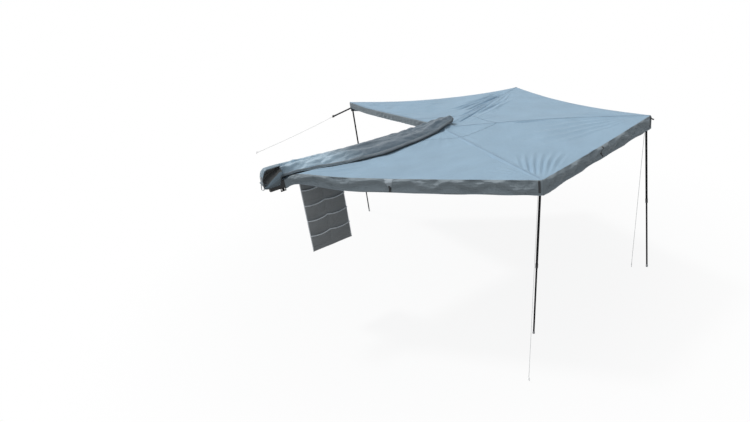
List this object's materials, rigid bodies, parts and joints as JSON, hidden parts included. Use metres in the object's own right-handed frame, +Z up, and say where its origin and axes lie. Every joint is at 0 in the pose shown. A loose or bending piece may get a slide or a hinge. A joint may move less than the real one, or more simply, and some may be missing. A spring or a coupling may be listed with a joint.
{
  "type": "vehicle side awning",
  "caption": "Fold-out fan awning for a vehicle's roof rack: hinged arms carry a cloth canopy with a valance and stand on telescopic legs; thrown-back bag cover, hanging pocket organiser.",
  "frame": {"origin": "Centre of the rear rack bracket's back face, where it bears on the roof rack. The ground is 1.99 m below it.", "axes": "X runs along the rail towards the vehicle's front, Y points outboard from the rack, Z is up."},
  "size_m": [5.0166, 5.1707, 2.344],
  "materials": {
    "rail_aluminium": "black anodised extrusion, satin",
    "black_metal": "black powder coat, satin",
    "leg_metal": "black anodised tube, satin",
    "steel": "zinc-plated steel",
    "black_plastic": "moulded, matte",
    "foot_rubber": "light grey rubber",
    "canopy_canvas": "coated woven canvas, matte",
    "cover_pvc": "coated heavy cloth, semi-matte",
    "organiser_cloth": "woven cloth, matte",
    "webbing": "woven webbing",
    "cord": "pale braided cord"
  },
  "bodies": {
    "mount_body": {"mounting_rail": "rail_aluminium", "rail_cap_front": "black_plastic", "hub_bracket": "black_metal", "hub_bracket_bolt": "steel", "hub_pin": "steel", "hub_nut": "steel", "hub_spacer_top": "black_plastic", "hub_spacer_bottom": "black_plastic", "bag_cover": "cover_pvc", "cover_pull_loop": "webbing", "pocket_organiser": "organiser_cloth", "rack_bracket_rear": "black_metal", "rack_bracket_middle": "black_metal", "rack_bracket_front": "black_metal", "bracket_bolt_rear": "steel", "bracket_bolt_middle": "steel", "bracket_bolt_front": "steel"},
    "arm_b": {"arm_b_knuckle": "black_metal", "arm_b_tube": "rail_aluminium", "arm_b_end": "black_metal", "leg_b_pin": "steel", "canopy_ab": "canopy_canvas", "guy_b_rope": "cord"},
    "arm_c": {"arm_c_knuckle": "black_metal", "arm_c_tube": "rail_aluminium", "arm_c_end": "black_metal", "leg_c_pin": "steel", "canopy_bc": "canopy_canvas", "guy_c_rope": "cord"},
    "arm_d": {"arm_d_knuckle": "black_metal", "arm_d_tube": "rail_aluminium", "arm_d_end": "black_metal", "leg_d_pin": "steel", "canopy_cd": "canopy_canvas"},
    "arm_e": {"arm_e_knuckle": "black_metal", "arm_e_tube": "rail_aluminium", "arm_e_end": "black_metal", "leg_e_pin": "steel", "canopy_de": "canopy_canvas"},
    "leg_b": {"leg_b_upper": "leg_metal"},
    "leg_b_slider": {"leg_b_lower": "leg_metal", "leg_b_foot": "foot_rubber"},
    "leg_b_clamp": {"leg_b_collar": "black_plastic"},
    "leg_c": {"leg_c_upper": "leg_metal"},
    "leg_c_slider": {"leg_c_lower": "leg_metal", "leg_c_foot": "foot_rubber"},
    "leg_c_clamp": {"leg_c_collar": "black_plastic"},
    "leg_d": {"leg_d_upper": "leg_metal"},
    "leg_d_slider": {"leg_d_lower": "leg_metal", "leg_d_foot": "foot_rubber"},
    "leg_d_clamp": {"leg_d_collar": "black_plastic"},
    "leg_e": {"leg_e_upper": "leg_metal"},
    "leg_e_slider": {"leg_e_lower": "leg_metal", "leg_e_foot": "foot_rubber"},
    "leg_e_clamp": {"leg_e_collar": "black_plastic"},
    "peg_b": {"guy_b_peg": "steel"},
    "peg_c": {"guy_c_peg": "steel"},
    "guy_e": {"guy_e_strap": "webbing", "guy_e_rope": "cord"},
    "guy_e_end": {"guy_e_hook": "steel"}
  },
  "joints": [
    {"name": "fold_b", "type": "hinge", "parent": "mount_body", "child": "arm_b", "pos_m": [-0.3, 0.12, 0], "axis": [0, 0, 1], "range_deg": [-75, 0], "deforming": ["canopy_ab"]},
    {"name": "fold_c", "type": "hinge", "parent": "arm_b", "child": "arm_c", "pos_m": [-0.3, 0.12, 0], "axis": [0, 0, 1], "range_deg": [-51.51, 0], "deforming": ["canopy_bc"]},
    {"name": "fold_d", "type": "hinge", "parent": "arm_c", "child": "arm_d", "pos_m": [-0.3, 0.12, 0], "axis": [0, 0, 1], "range_deg": [-71.51, 0], "deforming": ["canopy_cd"]},
    {"name": "fold_e", "type": "hinge", "parent": "arm_d", "child": "arm_e", "pos_m": [-0.3, 0.12, 0], "axis": [0, 0, 1], "range_deg": [-70.01, 0], "deforming": ["canopy_de"]},
    {"name": "leg_fold_b", "type": "hinge", "parent": "arm_b", "child": "leg_b", "pos_m": [0.3577, 2.38909, -0.04], "axis": [-0.9659, 0.2588, 0], "range_deg": [0, 82.69]},
    {"name": "leg_slide_b", "type": "slide", "parent": "leg_b", "child": "leg_b_slider", "axis": [0.0329, 0.1228, 0.9919], "range_m": [0, 0.76]},
    {"name": "leg_twist_b", "type": "hinge", "parent": "leg_b", "child": "leg_b_clamp", "pos_m": [0.3577, 2.38909, -0.04], "axis": [0.0329, 0.1228, 0.9919], "range_deg": [0, 50]},
    {"name": "leg_fold_c", "type": "hinge", "parent": "arm_c", "child": "leg_c", "pos_m": [-1.75159, 2.10861, -0.04], "axis": [-0.8039, -0.5948, 0], "range_deg": [0, 92.35]},
    {"name": "leg_slide_c", "type": "slide", "parent": "leg_c", "child": "leg_c_slider", "axis": [0.0244, -0.0329, 0.9992], "range_m": [0, 0.76]},
    {"name": "leg_twist_c", "type": "hinge", "parent": "leg_c", "child": "leg_c_clamp", "pos_m": [-1.75159, 2.10861, -0.04], "axis": [0.0244, -0.0329, 0.9992], "range_deg": [0, 50]},
    {"name": "leg_fold_d", "type": "hinge", "parent": "arm_d", "child": "leg_d", "pos_m": [-2.28467, -0.54168, -0.04], "axis": [0.309, -0.9511, 0], "range_deg": [0, 100.46]},
    {"name": "leg_slide_d", "type": "slide", "parent": "leg_d", "child": "leg_d_slider", "axis": [0.1727, 0.0561, 0.9834], "range_m": [0, 0.76]},
    {"name": "leg_twist_d", "type": "hinge", "parent": "leg_d", "child": "leg_d_clamp", "pos_m": [-2.28467, -0.54168, -0.04], "axis": [0.1727, 0.0561, 0.9834], "range_deg": [0, 50]},
    {"name": "leg_fold_e", "type": "hinge", "parent": "arm_e", "child": "leg_e", "pos_m": [-0.34109, -2.43212, -0.04], "axis": [0.9994, -0.0349, 0], "range_deg": [0, 90]},
    {"name": "leg_slide_e", "type": "slide", "parent": "leg_e", "child": "leg_e_slider", "axis": [0, 0, 1], "range_m": [0, 0.76]},
    {"name": "leg_twist_e", "type": "hinge", "parent": "leg_e", "child": "leg_e_clamp", "pos_m": [-0.34109, -2.43212, -0.04], "axis": [0, 0, 1], "range_deg": [0, 50]},
    {"name": "gather_b", "type": "slide", "parent": "arm_b", "child": "peg_b", "axis": [-0.2756, -0.1483, 0.9498], "range_m": [0, 1.766], "deforming": ["guy_b_rope"]},
    {"name": "gather_c", "type": "slide", "parent": "arm_c", "child": "peg_c", "axis": [-0.035, 0.0361, 0.9987], "range_m": [0, 1.666], "deforming": ["guy_c_rope"]},
    {"name": "guy_swing_e", "type": "hinge", "parent": "arm_e", "child": "guy_e", "pos_m": [-0.32085, -2.44283, -0.04], "axis": [0, 0, 1], "range_deg": [0, 62.49]},
    {"name": "gather_e", "type": "slide", "parent": "guy_e", "child": "guy_e_end", "axis": [-0.9022, -0.4309, -0.017], "range_m": [0, 1.557], "deforming": ["guy_e_rope"]}
  ],
  "couplings": [
    {"joint": "fold_c", "follows": "fold_b", "ratio": 0.68667},
    {"joint": "fold_d", "follows": "fold_b", "ratio": 0.95333},
    {"joint": "fold_e", "follows": "fold_b", "ratio": 0.93333},
    {"joint": "gather_b", "follows": "fold_b", "m_per_rad": -1.3484},
    {"joint": "gather_c", "follows": "fold_b", "m_per_rad": -1.272},
    {"joint": "guy_swing_e", "follows": "fold_b", "ratio": -0.83293},
    {"joint": "gather_e", "follows": "fold_b", "m_per_rad": -1.1887}
  ]
}
